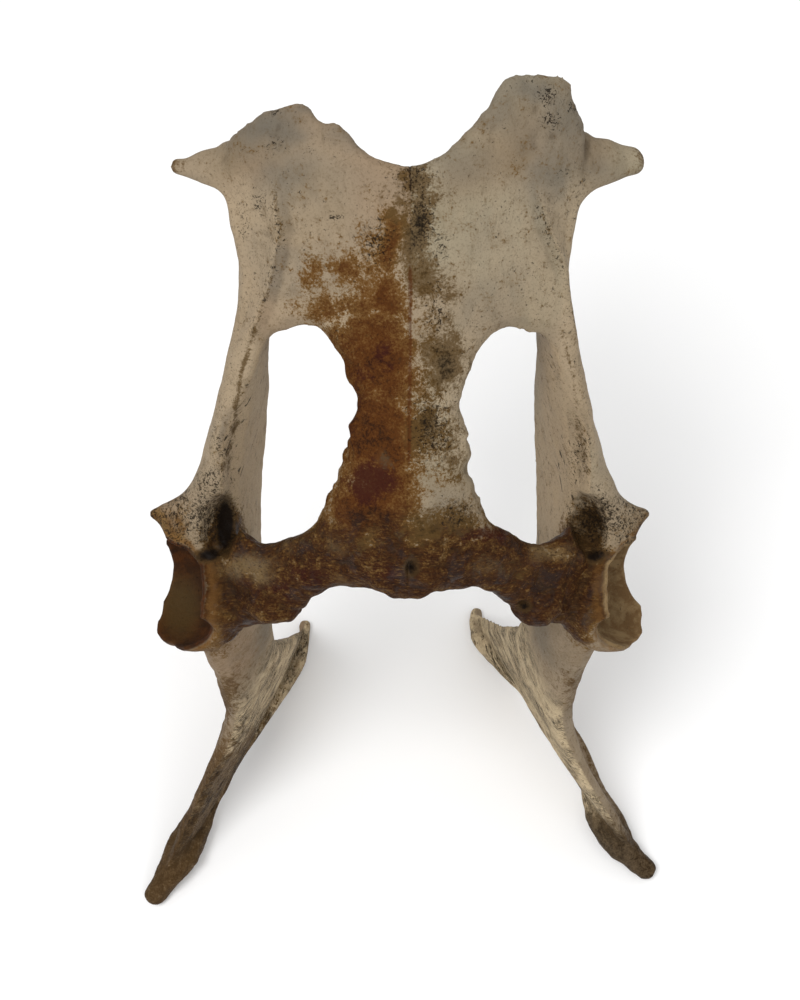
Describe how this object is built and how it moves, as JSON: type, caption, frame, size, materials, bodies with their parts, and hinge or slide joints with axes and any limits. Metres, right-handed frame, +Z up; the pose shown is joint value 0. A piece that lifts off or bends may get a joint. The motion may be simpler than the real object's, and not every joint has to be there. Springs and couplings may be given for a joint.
{
  "type": "deer pelvis",
  "caption": "Dry pelvis of an adult deer: both hip bones joined along the pubic symphysis, with hip sockets, obturator foramina, ischial hooks and iliac wings, standing on the iliac crests.",
  "frame": {"origin": "middle of the underside of the box around the bones, on the surface that they stand on", "axes": "+Z up, +X towards the animal's right side, +Y away from the viewer of the picture; the belly side of the pelvic floor faces up and towards -Y, and the tail end points to +Y and up"},
  "size_m": [0.135, 0.119, 0.2126],
  "materials": {
    "bone": "dry weathered bone, matt, with brown stains and a slight gloss on the pubic part"
  },
  "bodies": {
    "root": {"left_ilium": "bone", "left_ischium": "bone", "left_pubis": "bone", "right_ilium": "bone", "right_ischium": "bone", "right_pubis": "bone"}
  },
  "joints": []
}
